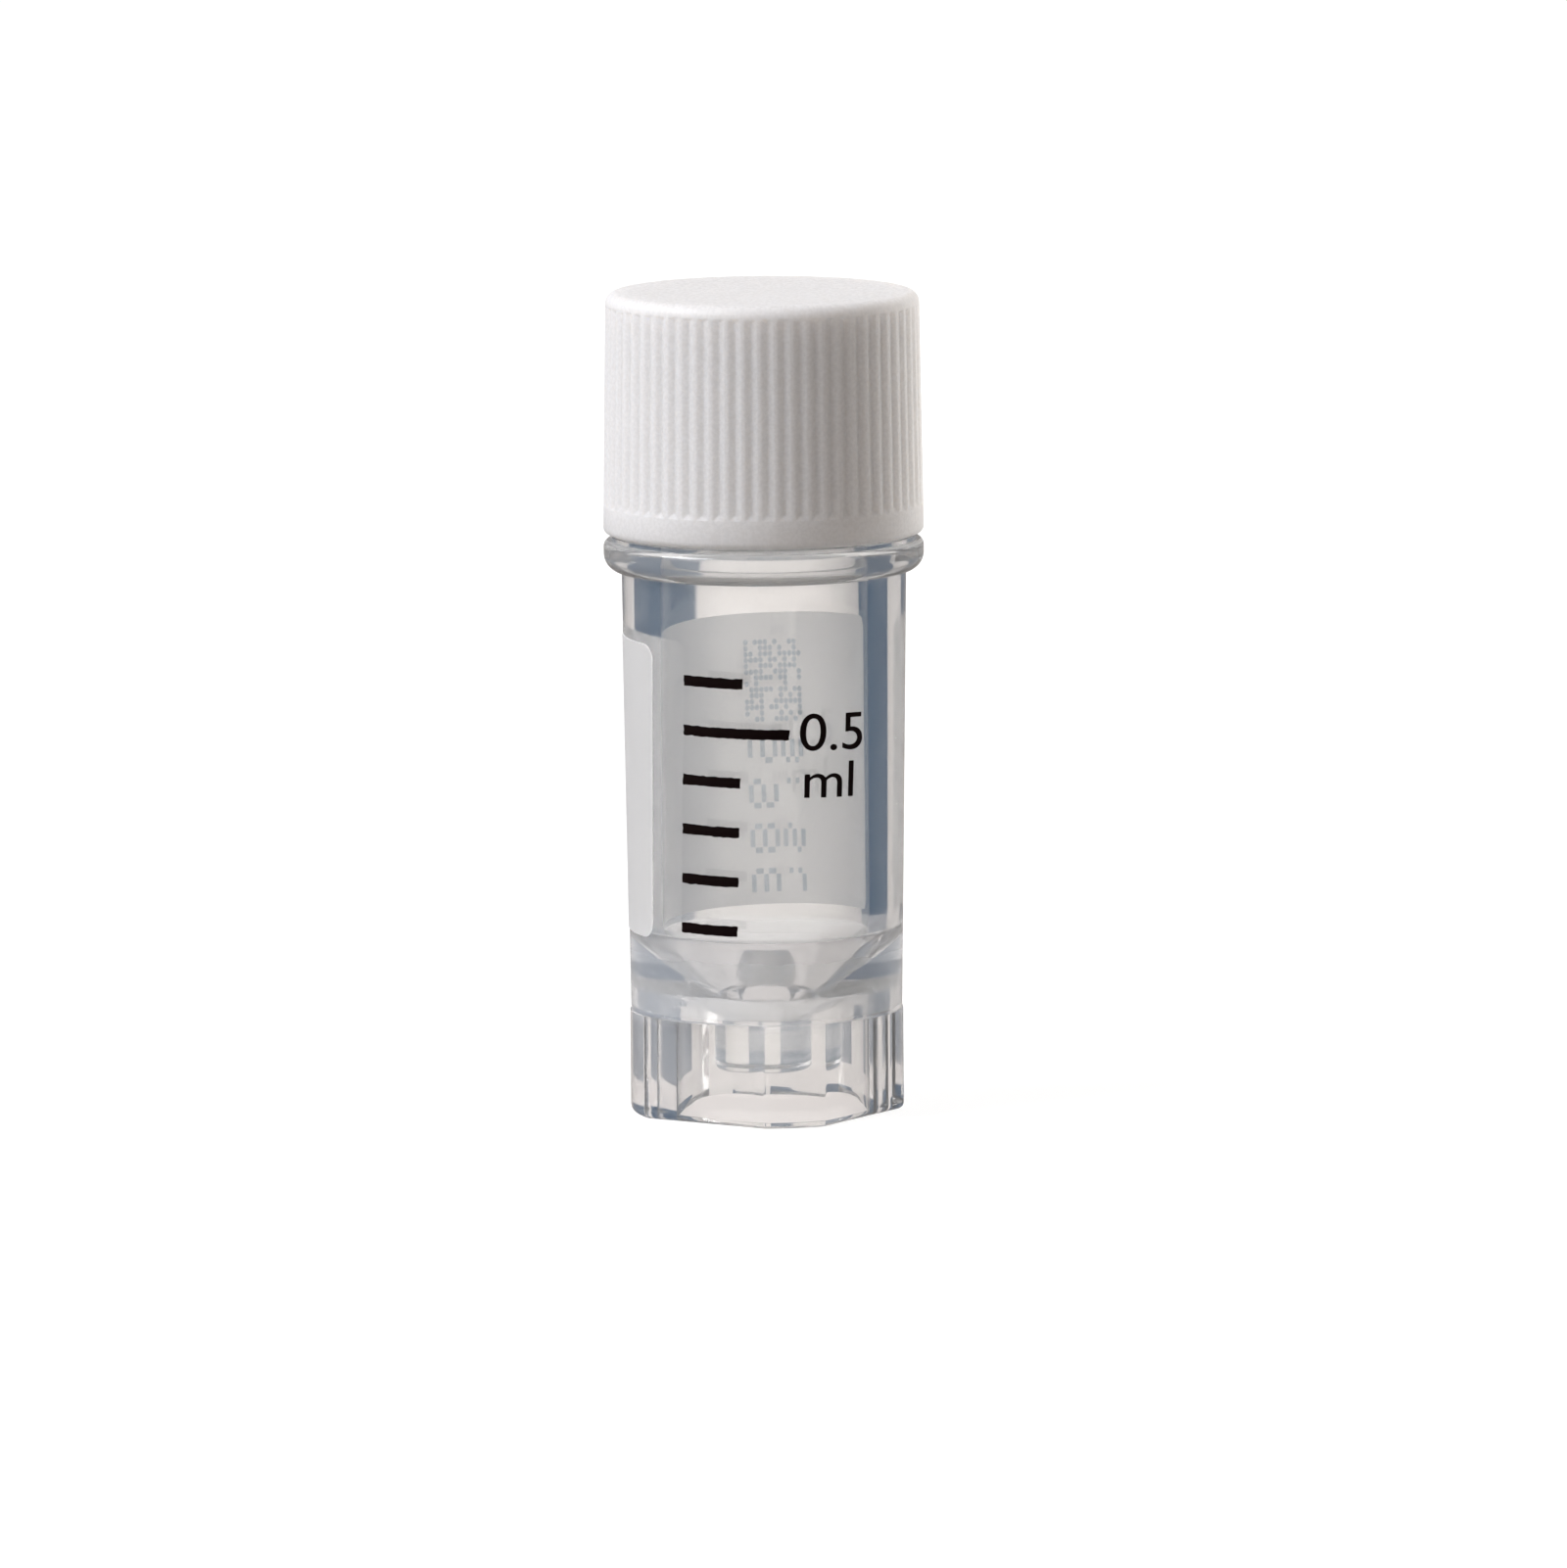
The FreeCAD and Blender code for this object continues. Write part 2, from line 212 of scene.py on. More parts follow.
def turn(name, section, azimuths, zone_rules=None, whole=True):
    """Turn a section round Z. A zone's rule gives its radii from (radii, heights, azimuths).

    Azimuth 0 is the front, at -Y, and azimuths grow towards +X. A point on the axis is one vertex.
    """
    radii, levels = (np.array(column)[:, None] for column in zip(*section.points))
    grid = np.repeat(radii, len(azimuths), axis=1)
    for zone, rule in (zone_rules or {}).items():
        rows = np.array([label == zone for label in section.zones])
        grid[rows] = rule(radii[rows], levels[rows], azimuths[None, :])
    sines, cosines = np.sin(np.radians(azimuths)), np.cos(np.radians(azimuths))
    mesh = bmesh.new()
    rings = []
    for row, level, radius in zip(grid, levels[:, 0], radii[:, 0]):
        if radius == 0:
            rings.append([mesh.verts.new((0, 0, level * MM))] * len(azimuths))
        else:
            rings.append([mesh.verts.new((r * s * MM, -r * c * MM, level * MM))
                          for r, s, c in zip(row, sines, cosines)])
    if whole:
        rings = [ring + ring[:1] for ring in rings]
    for lower, upper in zip(rings, rings[1:]):
        for left in range(len(lower) - 1):
            corners = (lower[left], lower[left + 1], upper[left + 1], upper[left])
            mesh.faces.new(dict.fromkeys(corners))
    for ring, crease in zip(rings, section.creases):
        for first, second in zip(ring, ring[1:]):
            if crease and first is not second:
                mesh.edges.get((first, second)).smooth = False
    return finish_mesh(name, mesh)


def finish_mesh(name, mesh):
    """Point the faces outwards, smooth them and make the mesh an object of the scene."""
    bmesh.ops.recalc_face_normals(mesh, faces=mesh.faces)
    for face in mesh.faces:
        face.smooth = True
    data = bpy.data.meshes.new(name)
    mesh.to_mesh(data)
    mesh.free()
    piece = bpy.data.objects.new(name, data)
    scene.collection.objects.link(piece)
    print(name, len(data.polygons), "faces")
    return piece


# %% [markdown]
# ## The vial
# The real vial is one polypropylene moulding. Its wall, the cone under the bore, the boss and the
# hollow skirt all bend the light, so every inner surface has to be there. The CAD solid is right in
# shape, but its flat facets would show in the refraction: the same section is turned again in fine,
# smoothly shaded steps, and stands in for it.

# %% The vial's sizes
FOOT_RADIUS, FOOT_HEIGHT, FOOT_EDGE, FOOT_TOP_EDGE, FOOT_TOP_IN = 5.345, 4.08, 0.3, 0.05, 0.02
FLAT_DISTANCE, FLAT_COUNT, FOOT_PHASE = 4.55, 4, -33.0
TUBE_FOOT_RADIUS, TUBE_TOP_RADIUS = 5.305, 5.555
BEAD_BOTTOM, BEAD_WIDEST, BEAD_WIDEST_TOP, BEAD_RADIUS = 21.32, 22.02, 22.3, 6.25
BEAD_LOWER_ROUNDING, BEAD_UPPER_ROUNDING = 0.7, 0.28
SHOULDER_RADIUS, SHOULDER_FOOT, SHOULDER_TOP = 5.95, 22.574, 22.72
NECK_RADIUS, NECK_FILLET, BORE_RADIUS, CONE_TOP = 4.75, 0.15, 4.05, 7.2
RIM_TOP, RIM_EDGE = vial_high.z, 0.15
SKIRT_BORE_RADIUS, SKIRT_CEILING, SKIRT_CEILING_EDGE = 4.2, 5.0, 0.1
SKIRT_LIP, SKIRT_LIP_OUT, SKIRT_LIP_CURVE = 0.25, 0.1, 0.32
BOSS_RADIUS, BOSS_BOTTOM, BOSS_EDGE, BOSS_TOP = 1.75, 1.7, 0.25, 3.8
UNDERSIDE_INNER, UNDERSIDE_LOW, UNDERSIDE_CURVE = 2.0, 4.0, 0.25
CONE_LIP, CONE_LIP_CURVE, CONE_FOOT_RADIUS, CONE_FOOT = (0.08, 0.12, 0.07), 0.28, 0.9, 4.3
TIP_RADIUS, TIP_CURVE, BORE_BOTTOM = 0.4, 0.6, 4.0
THREAD_LEAD, THREAD_STARTS, THREAD_LENGTH = 4.0, 2, 4.4
THREAD_CREST, THREAD_HALF, CREST_HALF = 0.35, 0.48, 0.22
NECK_THREAD_START, NECK_THREAD_PHASE = 24.6, FOOT_PHASE + 90
FOOT_CORNER, CORNER_REACH, THREAD_TAPER = 0.02, 2.2, 0.08
print("vial", vial_high.z, "mm tall, wall", round(TUBE_TOP_RADIUS - BORE_RADIUS, 3), "mm at the bead")

# %% The vial's section, from the boss outwards, up the wall and down the bore
vial_section = Section(0, BOSS_BOTTOM)
vial_section.line(BOSS_RADIUS - BOSS_EDGE, BOSS_BOTTOM, 2, crease=False)
vial_section.arc(BOSS_RADIUS, BOSS_BOTTOM + BOSS_EDGE, BOSS_EDGE)
vial_section.line(BOSS_RADIUS, BOSS_TOP, 4, crease=False)
vial_section.arc(UNDERSIDE_INNER, UNDERSIDE_LOW, -UNDERSIDE_CURVE, 5)
vial_section.line(SKIRT_BORE_RADIUS - SKIRT_CEILING_EDGE, SKIRT_CEILING, 8, crease=False)
vial_section.arc(SKIRT_BORE_RADIUS, SKIRT_CEILING - SKIRT_CEILING_EDGE, -SKIRT_CEILING_EDGE, 4)
vial_section.line(SKIRT_BORE_RADIUS, SKIRT_LIP, 6, crease=False)
vial_section.arc(SKIRT_BORE_RADIUS + SKIRT_LIP_OUT, 0, SKIRT_LIP_CURVE, 4, crease=True)
vial_section.line(FOOT_RADIUS - FOOT_EDGE, 0, zone="foot", crease=False)
vial_section.arc(FOOT_RADIUS, FOOT_EDGE, FOOT_EDGE, zone="foot")
vial_section.line(FOOT_RADIUS, FOOT_HEIGHT - FOOT_TOP_EDGE, 6, zone="foot", crease=False)
vial_section.arc(FOOT_RADIUS - FOOT_TOP_IN, FOOT_HEIGHT, FOOT_TOP_EDGE, 3, zone="foot", crease=True)
vial_section.line(TUBE_FOOT_RADIUS, FOOT_HEIGHT)
vial_section.line(TUBE_TOP_RADIUS, BEAD_BOTTOM, 18)
vial_section.arc(BEAD_RADIUS, BEAD_WIDEST, BEAD_LOWER_ROUNDING, 10)
vial_section.line(BEAD_RADIUS, BEAD_WIDEST_TOP, crease=False)
vial_section.arc(SHOULDER_RADIUS, SHOULDER_FOOT, BEAD_UPPER_ROUNDING, crease=True)
vial_section.line(SHOULDER_RADIUS, SHOULDER_TOP)
vial_section.line(NECK_RADIUS + NECK_FILLET, SHOULDER_TOP, 2, crease=False)
vial_section.arc(NECK_RADIUS, SHOULDER_TOP + NECK_FILLET, -NECK_FILLET, 4)
vial_section.line(NECK_RADIUS, RIM_TOP - RIM_EDGE, 84, zone="neck", crease=False)
vial_section.arc(NECK_RADIUS - RIM_EDGE, RIM_TOP, RIM_EDGE, 5)
vial_section.line(BORE_RADIUS + RIM_EDGE, RIM_TOP, crease=False)
vial_section.arc(BORE_RADIUS, RIM_TOP - RIM_EDGE, RIM_EDGE, 5)
lip_in, lip_up, lip_down = CONE_LIP
vial_section.line(BORE_RADIUS, CONE_TOP + lip_up, 28, crease=False)
vial_section.arc(BORE_RADIUS - lip_in, CONE_TOP - lip_down, -CONE_LIP_CURVE, 4)
vial_section.line(CONE_FOOT_RADIUS, CONE_FOOT, 12, crease=False)
vial_section.arc(TIP_RADIUS, BORE_BOTTOM, -TIP_CURVE, 6)
vial_section.line(0, BORE_BOTTOM, 2)
print("section of", len(vial_section.points), "points")

# %% The rules of the foot and the neck


def foot_radius(radii, levels, azimuths):
    """The ring, cut back to each flat, with the corner between them slightly rounded."""
    turned = np.radians((azimuths - FOOT_PHASE + 45) % 90 - 45)
    flat = FLAT_DISTANCE / np.cos(turned)
    gap = np.clip(0.5 + (flat - FOOT_RADIUS) / FOOT_CORNER / 2, 0, 1)
    blended = flat + (FOOT_RADIUS - flat) * gap - FOOT_CORNER * gap * (1 - gap)
    return blended - (FOOT_RADIUS - radii)


def thread_rise(levels, azimuths, start_level, phase):
    """How far the two starts of a thread stand out of their wall: a trapezoid tooth, tapered at its ends."""
    rise = np.zeros(np.broadcast(levels, azimuths).shape)
    turns = THREAD_LENGTH / THREAD_LEAD
    for start in range(THREAD_STARTS):
        for lap in range(3):
            along = (azimuths - phase - 360 * start / THREAD_STARTS) % 360 / 360 + lap - 1
            off_centre = np.abs(levels - start_level - THREAD_LEAD * along)
            tooth = np.clip((THREAD_HALF - off_centre) / (THREAD_HALF - CREST_HALF), 0, 1)
            taper = np.clip(along / THREAD_TAPER, 0, 1) * np.clip((turns - along) / THREAD_TAPER, 0, 1)
            rise = np.maximum(rise, tooth * taper)
    return rise


def neck_radius(radii, levels, azimuths):
    return radii + THREAD_CREST * thread_rise(levels, azimuths, NECK_THREAD_START, NECK_THREAD_PHASE)


def foot_azimuths():
    """Even steps over flats and lands, with extra ones where they meet."""
    half_flat = math.degrees(math.acos(FLAT_DISTANCE / FOOT_RADIUS))
    near_corner = np.array([-1.6, -1.0, -0.5, 0.0, 0.5, 1.0, 1.6])
    flat_steps = np.linspace(-half_flat + CORNER_REACH, half_flat - CORNER_REACH, 52)
    land_steps = np.linspace(half_flat + CORNER_REACH, 90 - half_flat - CORNER_REACH, 32)
    quarter = np.concatenate([flat_steps, half_flat + near_corner, land_steps, 90 - half_flat + near_corner])
    return np.sort(np.concatenate([(FOOT_PHASE + 90 * k + quarter) % 360 for k in range(FLAT_COUNT)]))


# %% Turn the vial
vial_wall = turn("vial_wall", vial_section, foot_azimuths(), {"foot": foot_radius, "neck": neck_radius})
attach(vial_wall, "vial")
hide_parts("vial_body")

# %% [markdown]
# ## The cap
# The grip is sixty V grooves between narrow crests, each ending on a small sloped shelf above a plain
# band. One groove's slice of the cap, six degrees wide, is turned as before, and a Geometry Nodes tree
# copies it round the axis and welds the slices into one closed shell. Changing the count or the slice
# then changes the whole grip.

# %% One slice of the cap, with its groove
CAP_BOTTOM, CAP_TOP = cap_low.z, cap_high.z
CAP_FOOT_RADIUS, CAP_TOP_RADIUS, CAP_TOP_EDGE, CAP_FOOT_EDGE = 6.255, 6.12, 0.45, 0.25
CAP_BORE_RADIUS, CAP_CEILING = 5.25, 31.2
GROOVE_COUNT, GROOVE_DEPTH, GROOVE_HALF_WIDTH = 60, 0.14, 0.25
GROOVE_FOOT, SHELF_TOP, GROOVE_TOP, CAP_PHASE = 23.92, 24.2, 31.75, 1.7
ROOT_BLUNTNESS, GROOVE_RUN_OUT = 0.25, 0.12
SLICE = 360 / GROOVE_COUNT

cap_section = Section(0, CAP_CEILING)
cap_section.line(CAP_BORE_RADIUS, CAP_CEILING, 3)
cap_section.line(CAP_BORE_RADIUS, CAP_BOTTOM + 0.3, 6)
cap_section.line(CAP_BORE_RADIUS + 0.15, CAP_BOTTOM)
cap_section.line(CAP_FOOT_RADIUS - CAP_FOOT_EDGE, CAP_BOTTOM, crease=False)
cap_section.arc(CAP_FOOT_RADIUS, CAP_BOTTOM + CAP_FOOT_EDGE, CAP_FOOT_EDGE, 6)
wall_slope = (CAP_TOP_RADIUS - CAP_FOOT_RADIUS) / (CAP_TOP - CAP_TOP_EDGE - CAP_BOTTOM - CAP_FOOT_EDGE)
for level, steps in ((GROOVE_FOOT - 0.02, 1), (SHELF_TOP + 0.02, 16), (GROOVE_TOP - 0.2, 8),
                     (GROOVE_TOP + 0.04, 6)):
    wall_radius = CAP_FOOT_RADIUS + wall_slope * (level - CAP_BOTTOM - CAP_FOOT_EDGE)
    cap_section.line(wall_radius, level, steps, zone="grip", crease=False)
cap_section.arc(CAP_TOP_RADIUS - CAP_TOP_EDGE, CAP_TOP, CAP_TOP_EDGE, 8)
cap_section.line(0, CAP_TOP, 4)


def grip_radius(radii, levels, azimuths):
    """A V groove with a slightly blunt root, closed by a sloped shelf below and a short run-out above."""
    across = np.abs(np.radians(azimuths - CAP_PHASE)) * radii / GROOVE_HALF_WIDTH
    groove = 1 - np.sqrt(across ** 2 + ROOT_BLUNTNESS ** 2)
    shelf = (levels - GROOVE_FOOT) / (SHELF_TOP - GROOVE_FOOT)
    run_out = (GROOVE_TOP - levels) / GROOVE_RUN_OUT
    return radii - GROOVE_DEPTH * np.clip(np.minimum(np.minimum(groove, shelf), run_out), 0, 1)


slice_steps = SLICE / 2 * np.array([-1, -0.88, -0.77, -0.6, -0.4, -0.2, -0.08, 0,
                                    0.08, 0.2, 0.4, 0.6, 0.77, 0.88, 1])
cap_slice = turn("cap_slice", cap_section, CAP_PHASE + slice_steps, {"grip": grip_radius}, whole=False)

# %% Geometry Nodes that copy a slice round the axis


def round_copies_tree():
    """A node group: copy the incoming mesh Count times round Z, weld it and give it a material."""
    tree = bpy.data.node_groups.new("round_copies", "GeometryNodeTree")
    face = tree.interface
    face.new_socket("Slice", in_out="INPUT", socket_type="NodeSocketGeometry")
    face.new_socket("Count", in_out="INPUT", socket_type="NodeSocketInt")
    face.new_socket("Weld Distance", in_out="INPUT", socket_type="NodeSocketFloat")
    face.new_socket("Material", in_out="INPUT", socket_type="NodeSocketMaterial")
    face.new_socket("Shell", in_out="OUTPUT", socket_type="NodeSocketGeometry")
    given = tree.nodes.new("NodeGroupInput")
    signals = {socket.name: Signal(tree, socket) for socket in given.outputs if socket.name}
    start = Signal(tree)
    spots = start.node("GeometryNodePoints", None, {"Count": signals["Count"]})
    angle = start.node("GeometryNodeInputIndex") * (math.tau / signals["Count"])
    turned = start.node("ShaderNodeCombineXYZ", None, {"Z": angle})
    copies = start.node("GeometryNodeInstanceOnPoints", None,
                        {"Points": spots, "Instance": signals["Slice"], "Rotation": turned})
    solid = start.node("GeometryNodeRealizeInstances", None, {"Geometry": copies})
    welded = start.node("GeometryNodeMergeByDistance", None,
                        {"Geometry": solid, "Distance": signals["Weld Distance"]})
    painted = start.node("GeometryNodeSetMaterial", None,
                         {"Geometry": welded, "Material": signals["Material"]})
    tree.links.new(painted.socket, tree.nodes.new("NodeGroupOutput").inputs["Shell"])
    return tree


def apply_tree(piece, tree, name, **inputs):
    """Run a node group on a piece with the given inputs, and keep the result as a plain mesh."""
    modifier = piece.modifiers.new(tree.name, "NODES")
    modifier.node_group = tree
    for socket in tree.interface.items_tree:
        key = socket.name.replace(" ", "_").lower()
        if key in inputs:
            modifier[socket.identifier] = inputs[key]
    bpy.context.view_layer.update()
    data = bpy.data.meshes.new_from_object(piece.evaluated_get(bpy.context.evaluated_depsgraph_get()))
    bpy.data.objects.remove(piece)
    mesh = bmesh.new()
    mesh.from_mesh(data)
    for face in mesh.faces:
        face.material_index = 0
    finished = finish_mesh(name, mesh)
    finished.data.materials.append(next(filter(None, data.materials)))
    bpy.data.meshes.remove(data)
    return finished


# %% [markdown]
# ## The materials
# Polypropylene is clear but never quite: it scatters a little light at every wall, which lifts the
# shadows and greys the highlights. The vial is a Principled surface with full transmission, mixed with
# a weak white diffuse one. The cap is the same plastic with white pigment, so light goes a little way
# in, and its top has the fine grain of a spark-eroded mould.

# %% Clear polypropylene
WALL_HAZE, CONE_HAZE, BEAD_HAZE = 0.07, 0.19, 0.09


def make_clear_plastic():
    material, start = new_material("clear_polypropylene")
    waves = start.node("ShaderNodeBump", None, {"Strength": 0.06, "Distance": 0.02 * MM,
                                                "Height": noise(start, 0.9, (1, 1, 6), detail=1.0)})
    clear = start.node("ShaderNodeBsdfPrincipled", None, {
        "Base Color": (0.975, 0.97, 0.965, 1), "Transmission Weight": 1.0, "IOR": 1.49,
        "Roughness": noise(start, 0.35) * 0.03 + 0.015, "Normal": waves})
    height = heights(start)
    near_cone = height.step(3.4 * MM, 4.4 * MM) * (1 - height.step(6.2 * MM, 8.4 * MM))
    near_bead = height.step(20.9 * MM, 21.6 * MM)
    hazy = start.node("ShaderNodeBsdfDiffuse", None, {
        "Color": near_cone.mix((0.75, 0.775, 0.79, 1), (0.90, 0.92, 0.94, 1))})
    haze = WALL_HAZE + noise(start, 1.5) * 0.03 + near_cone * CONE_HAZE + near_bead * BEAD_HAZE
    return finish_material(material, start.node("ShaderNodeMixShader", None, {0: haze, 1: clear, 2: hazy}))


clear_plastic = make_clear_plastic()
vial_wall.data.materials.append(clear_plastic)

# %% White cap plastic


def make_cap_plastic():
    material, start = new_material("white_cap_plastic")
    normal = start.node("ShaderNodeSeparateXYZ", None,
                        {0: start.node("ShaderNodeNewGeometry", output=1)}, output=2)
    on_top = heights(start).step((CAP_TOP - 0.3) * MM, (CAP_TOP - 0.02) * MM) * normal.step(0.6, 0.95)
    grain = noise(start, 0.17, detail=2.0) * on_top * 0.8
    side_grain = noise(start, 0.17, (1, 1, 1.5)) * 0.2
    bumps = start.node("ShaderNodeBump", None, {"Strength": 0.6, "Distance": 0.03 * MM,
                                                "Height": grain + side_grain})
    tone = noise(start, 2.5, detail=2.0).mix((0.82, 0.815, 0.81, 1), (0.86, 0.855, 0.855, 1))
    fleck = noise(start, 0.14, detail=2.0).step(0.35, 0.65) * (0.5 + on_top * 0.5)
    tone = fleck.mix(tone, (0.74, 0.735, 0.73, 1))
    plastic = start.node("ShaderNodeBsdfPrincipled", None, {
        "Base Color": tone, "Roughness": 0.46 + noise(start, 0.4) * 0.12 + on_top * 0.1,
        "Specular IOR Level": 0.4,
        "Subsurface Weight": 1.0, "Subsurface Radius": (1.0, 0.95, 0.9), "Subsurface Scale": 1.4 * MM,
        "IOR": 1.49, "Normal": bumps})
    return finish_material(material, plastic)


cap_plastic = make_cap_plastic()
cap_shell = apply_tree(cap_slice, round_copies_tree(), "cap_shell", count=GROOVE_COUNT,
                       weld_distance=1e-6, material=cap_plastic)
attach(cap_shell, "cap")
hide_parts("screw_cap")

# %% [markdown]
# ## Inside the cap
# The cap's thread follows the neck's, half a pitch lower, and runs in the same two starts. It can't be
# part of a repeated slice, because it rises as it goes round, so its tooth is carried along the helix
# as a mesh of its own and sunk a little into the cap's wall.

# %% The thread inside the cap
CAP_THREAD_START = NECK_THREAD_START - THREAD_LEAD / THREAD_STARTS / 2 \
    + THREAD_LEAD * (CAP_PHASE - FOOT_PHASE) / 360
CAP_THREAD_CREST, THREAD_BITE, THREAD_THIN_END = 4.85, 0.1, CAP_BORE_RADIUS + 0.02
STATIONS, TAPER_STATIONS = 100, 8


def make_cap_thread():
    """Two ridges, each a trapezoid carried along its helix and thinned to a point at both ends."""
    mesh = bmesh.new()
    for start in range(THREAD_STARTS):
        rings = []
        for n in range(STATIONS + 1):
            along = THREAD_LENGTH / THREAD_LEAD * n / STATIONS
            taper = min(1, n / TAPER_STATIONS, (STATIONS - n) / TAPER_STATIONS)
            angle = math.radians(CAP_PHASE + 90 + 360 * (along + start / THREAD_STARTS))
            level = CAP_THREAD_START + THREAD_LEAD * along
            wall = CAP_BORE_RADIUS + THREAD_BITE
            crest = THREAD_THIN_END - (THREAD_THIN_END - CAP_THREAD_CREST) * taper
            tooth = ((wall, -THREAD_HALF), (crest, -CREST_HALF), (crest, CREST_HALF), (wall, THREAD_HALF))
            rings.append([mesh.verts.new((r * math.sin(angle) * MM, -r * math.cos(angle) * MM,
                                          (level + rise) * MM)) for r, rise in tooth])
        for ring, following in zip(rings, rings[1:]):
            for k in range(4):
                mesh.faces.new((ring[k], ring[(k + 1) % 4], following[(k + 1) % 4], following[k]))
        mesh.faces.new(rings[0])
        mesh.faces.new(rings[-1])
    return finish_mesh("cap_inner_thread", mesh)


cap_inner_thread = make_cap_thread()
cap_inner_thread.data.materials.append(cap_plastic)
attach(cap_inner_thread, "cap")

# %% [markdown]
# ## The gasket
# A plain ring of pale silicone seals the rim. Its CAD mesh is already fine enough, so it is kept as it
# is and only given its rubber.

# %% Silicone gasket


def make_silicone():
    material, start = new_material("silicone")
    bumps = start.node("ShaderNodeBump", None, {"Strength": 0.3, "Distance": 0.01 * MM,
                                                "Height": noise(start, 0.2)})
    tone = noise(start, 1.2).mix((0.62, 0.60, 0.56, 1), (0.72, 0.70, 0.66, 1))
    rubber = start.node("ShaderNodeBsdfPrincipled", None, {
        "Base Color": tone, "Roughness": 0.5 + noise(start, 0.5) * 0.2, "Normal": bumps})
    return finish_material(material, rubber)


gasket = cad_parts["sealing_gasket"]
gasket.data.materials.clear()
gasket.data.materials.append(make_silicone())

# %% [markdown]
# ## The prints
# Each print is drawn flat in millimetres, across and up, then cut into narrow upright strips, given
# the thickness of ink and wrapped round the tapered tube. The film is sunk a few thousandths of a
# millimetre into the plastic, because real ink wets the wall: with an air gap between them, the wall
# would turn to a mirror wherever it is seen at a slant, and the print would vanish there.

# %% Wrap a flat drawing round the tube
INK_LIFT, INK_SINK, STRIP = 0.03, 0.012, 0.16
PRINT_RADIUS, PRINT_TILT, PRINT_MIDDLE = 5.43, 0.0305, 12.7


def tube_radius(level):
    share = (level - FOOT_HEIGHT) / (BEAD_BOTTOM - FOOT_HEIGHT)
    return TUBE_FOOT_RADIUS + (TUBE_TOP_RADIUS - TUBE_FOOT_RADIUS) * share


def arc_length(azimuth):
    """Millimetres round the tube from its front to an azimuth."""
    return math.radians(azimuth) * PRINT_RADIUS


def wrap(name, flat, lift=INK_LIFT, sink=INK_SINK):
    """Make a drawing (x round the tube, y up) into a closed film of ink on the tube."""
    columns = [vertex.co.x for vertex in flat.verts]
    for cut in np.arange(math.ceil(min(columns) / STRIP) * STRIP, max(columns), STRIP):
        parts = flat.verts[:] + flat.edges[:] + flat.faces[:]
        bmesh.ops.bisect_plane(flat, geom=parts, plane_co=(cut, 0, 0), plane_no=(1, 0, 0))
    raised = bmesh.ops.extrude_face_region(flat, geom=flat.faces[:])["geom"]
    outer = {part for part in raised if isinstance(part, bmesh.types.BMVert)}
    for vertex in flat.verts:
        angle = (vertex.co.x + PRINT_TILT * (vertex.co.y - PRINT_MIDDLE)) / PRINT_RADIUS
        level = vertex.co.y - PRINT_TILT * vertex.co.x
        radius = tube_radius(level) + (lift if vertex in outer else -sink)
        vertex.co = (radius * math.sin(angle) * MM, -radius * math.cos(angle) * MM, level * MM)
    film = finish_mesh(name, flat)
    film.data.set_sharp_from_angle(angle=math.radians(40))
    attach(film, "vial")
    return film


def draw_polygon(flat, points):
    """Add a filled outline to a drawing."""
    face = flat.faces.new([flat.verts.new((x, y, 0)) for x, y in points])
    bmesh.ops.triangulate(flat, faces=[face])


# %% [markdown]
# Ink could be one black or white colour, but a thick screen-printed film is matt, uneven and lets some
# light through. White ink is mostly see-through to light, and black ink not at all.

# %% Inks


def make_ink(name, colour, darker, show_through, shine):
    """Screen-printed ink: a matt film, a little uneven, that lets some light through."""
    material, start = new_material(name)
    bumps = start.node("ShaderNodeBump", None, {"Strength": 0.35, "Distance": 0.01 * MM,
                                                "Height": noise(start, 0.12)})
    tone = noise(start, 0.5, (1, 1, 3)).mix(colour, darker)
    film = start.node("ShaderNodeBsdfPrincipled", None, {
        "Base Color": tone, "Roughness": 0.6 + noise(start, 0.3) * 0.2, "Specular IOR Level": shine,
        "Normal": bumps})
    lit = start.node("ShaderNodeBsdfTranslucent", None, {"Color": tone})
    return finish_material(material, start.node("ShaderNodeMixShader", None,
                                                {0: show_through, 1: film, 2: lit}))


white_ink = make_ink("white_ink", (0.965, 0.965, 0.965, 1), (0.945, 0.945, 0.945, 1), 0.6, 0.5)
black_ink = make_ink("black_ink", (0.004, 0.0012, 0.0012, 1), (0.008, 0.003, 0.003, 1), 0.0, 0.06)

# %% [markdown]
# ## The panel and the marks
# The white field wraps a little over half the tube, with rounded corners. The volume marks are six
# equally spaced bars, the fifth one long. Printed edges are never quite straight, so a seeded random
# shift moves each point of a bar's edge by about a hundredth of a millimetre.

# %% The writing panel
PANEL_LOW, PANEL_HIGH, PANEL_START, PANEL_END, PANEL_CORNER = 7.05, 18.62, -258.0, -54.0, 0.6


def rounded_rectangle(left, right, low, high, corner, steps=6):
    points = []
    for turn_number, (x, y) in enumerate(((right, high), (left, high), (left, low), (right, low))):
        centre = (x - math.copysign(corner, x - (left + right) / 2),
                  y - math.copysign(corner, y - (low + high) / 2))
        for n in range(steps + 1):
            angle = math.pi / 2 * (turn_number + n / steps)
            points.append((centre[0] + corner * math.cos(angle), centre[1] + corner * math.sin(angle)))
    return points


panel_flat = bmesh.new()
draw_polygon(panel_flat, rounded_rectangle(arc_length(PANEL_START), arc_length(PANEL_END),
                                           PANEL_LOW, PANEL_HIGH, PANEL_CORNER))
writing_panel = wrap("writing_panel_film", panel_flat)
writing_panel.data.materials.append(white_ink)
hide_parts("writing_panel")

